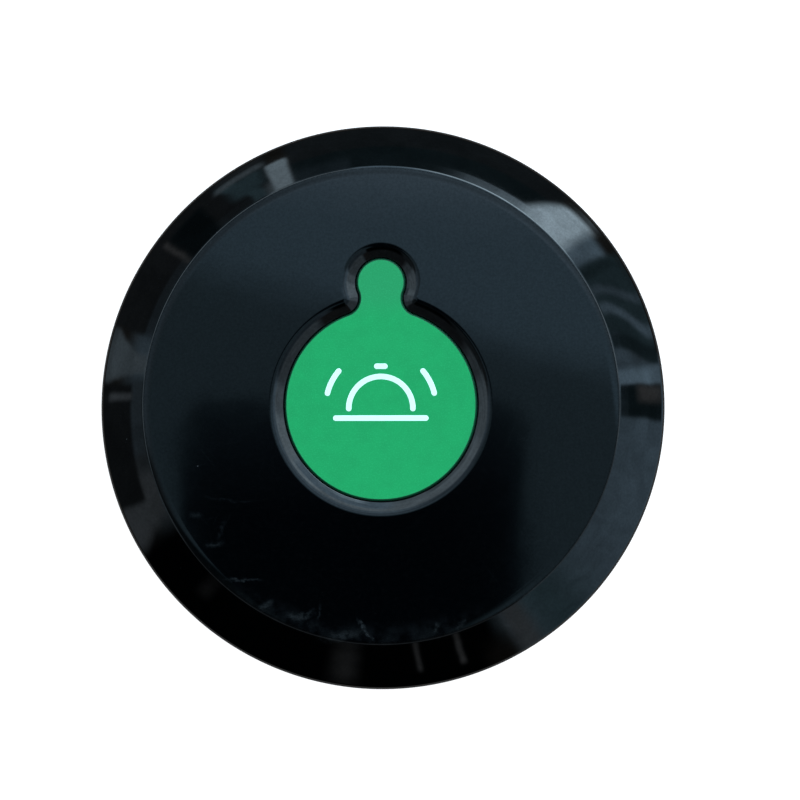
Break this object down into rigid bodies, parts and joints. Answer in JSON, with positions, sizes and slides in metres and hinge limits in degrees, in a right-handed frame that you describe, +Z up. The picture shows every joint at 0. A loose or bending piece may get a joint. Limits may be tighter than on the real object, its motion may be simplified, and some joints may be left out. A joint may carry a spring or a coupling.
{
  "type": "waiter call button",
  "caption": "Round desk call button: gloss black bevelled cover, keyhole-shaped green key that presses in, twist-off base over a board and stick battery.",
  "frame": {"origin": "centre of the resting plane under the feet, on the axis of the round cover", "axes": "+Z up through the key, +Y towards the key's small lobe, +X to the right seen from above"},
  "size_m": [0.06, 0.06, 0.0171],
  "materials": {
    "gloss_black_cover": "moulded gloss black plastic with fine hairline wear",
    "black_key": "moulded black plastic, satin",
    "green_film": "printed green film, fine matte grain",
    "black_base": "moulded black plastic, fine spark-eroded grain",
    "black_rubber": "black rubber, dull",
    "board_laminate": "green solder mask on glass laminate",
    "black_part": "moulded black plastic",
    "chip_resin": "moulded epoxy, fine grain",
    "tinned_metal": "tin plated sheet metal",
    "spring_steel": "bright spring steel",
    "plated_steel": "zinc plated steel",
    "copper_wire": "enamelled copper wire",
    "ceramic_parts": "ceramic chip parts",
    "battery_steel": "nickel plated steel",
    "battery_print": "shrunk printed sleeve, plain",
    "clear_resin": "clear cast resin",
    "solder_alloy": "reflowed solder"
  },
  "bodies": {
    "housing": {"top_cover": "gloss_black_cover", "circuit_board": "board_laminate", "board_screws": "plated_steel", "switch_base": "black_part", "switch_cover": "tinned_metal", "switch_dome": "spring_steel", "switch_terminals": "tinned_metal", "lamp_lens": "clear_resin", "lamp_leads": "tinned_metal", "encoder_chip": "chip_resin", "chip_pins": "tinned_metal", "resonator_can": "plated_steel", "antenna_coil": "copper_wire", "chip_components": "ceramic_parts", "battery_cell": "battery_steel", "battery_sleeve": "battery_print", "battery_button": "battery_steel", "battery_spring": "spring_steel", "positive_contact": "tinned_metal", "negative_contact": "tinned_metal", "solder_joints": "solder_alloy"},
    "key": {"key_cap": "black_key", "key_film": "green_film"},
    "switch_plunger": {"switch_plunger": "black_part"},
    "base": {"bottom_cover": "black_base", "seal_ring": "black_rubber", "rubber_feet": "black_rubber"}
  },
  "joints": [
    {"name": "key_press", "type": "slide", "parent": "housing", "child": "key", "axis": [0, 0, -1], "range_m": [0, 0.0005], "stiffness_N_per_m": 1500, "springref_m": -0.0004},
    {"name": "plunger_press", "type": "slide", "parent": "housing", "child": "switch_plunger", "axis": [0, 0, -1], "range_m": [0, 0.0005], "deforming": ["switch_dome"]},
    {"name": "base_twist", "type": "hinge", "parent": "housing", "child": "base", "pos_m": [0, 0, 0], "axis": [0, 0, 1], "range_deg": [0, 25]}
  ],
  "couplings": [
    {"joint": "plunger_press", "follows": "key_press", "ratio": 1}
  ]
}
